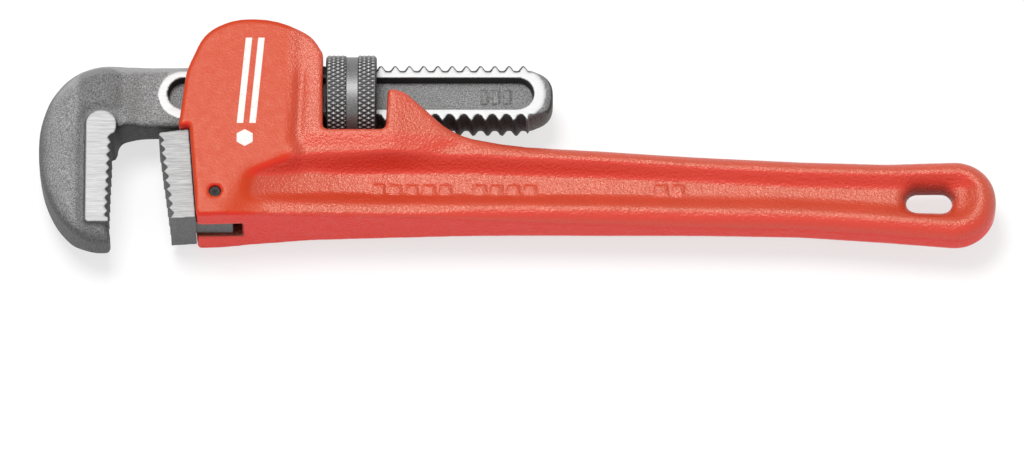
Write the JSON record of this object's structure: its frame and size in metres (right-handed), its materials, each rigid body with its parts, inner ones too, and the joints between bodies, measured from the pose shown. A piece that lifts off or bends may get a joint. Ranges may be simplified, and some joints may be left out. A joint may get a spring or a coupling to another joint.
{
  "type": "pipe wrench",
  "caption": "Straight pipe wrench with a painted cast handle and head, forged hook jaw on a threaded shank, knurled adjusting nut and toothed heel jaw.",
  "frame": {"origin": "middle of the underside of the envelope, with the wrench lying on its side", "axes": "+X along the shank and handle towards the hang hole, +Y from the handle up to the back of the head, +Z through the thickness"},
  "size_m": [0.2682, 0.065, 0.0256],
  "materials": {
    "red_paint": "gloss",
    "forged_steel": "matte",
    "ground_steel": "satin",
    "dark_steel": "satin",
    "pin_steel": "satin",
    "spring_steel": "satin"
  },
  "bodies": {
    "housing": {"handle_housing": "red_paint", "heel_jaw": "ground_steel", "heel_jaw_pin": "pin_steel", "flat_spring_rivet": "pin_steel", "coil_spring": "spring_steel"},
    "rocker": {"flat_spring": "spring_steel"},
    "hook": {"hook_jaw": "forged_steel"},
    "nut": {"adjusting_nut": "dark_steel"}
  },
  "joints": [
    {"name": "jaw_rock", "type": "hinge", "parent": "housing", "child": "rocker", "pos_m": [-0.0465, 0.0126, 0.0128], "axis": [0, 0, 1], "range_deg": [-1.5, 1.5], "stiffness_Nm_per_rad": 8, "deforming": ["flat_spring", "coil_spring"]},
    {"name": "jaw_travel", "type": "slide", "parent": "rocker", "child": "hook", "axis": [-1, 0, 0], "range_m": [-0.011, 0.044]},
    {"name": "nut_spin", "type": "hinge", "parent": "rocker", "child": "nut", "pos_m": [-0.0465, 0.0126, 0.0128], "axis": [1, 0, 0], "range_deg": [-992, 3962]}
  ],
  "couplings": [
    {"joint": "nut_spin", "follows": "jaw_travel", "rad_per_m": 1570.8}
  ]
}
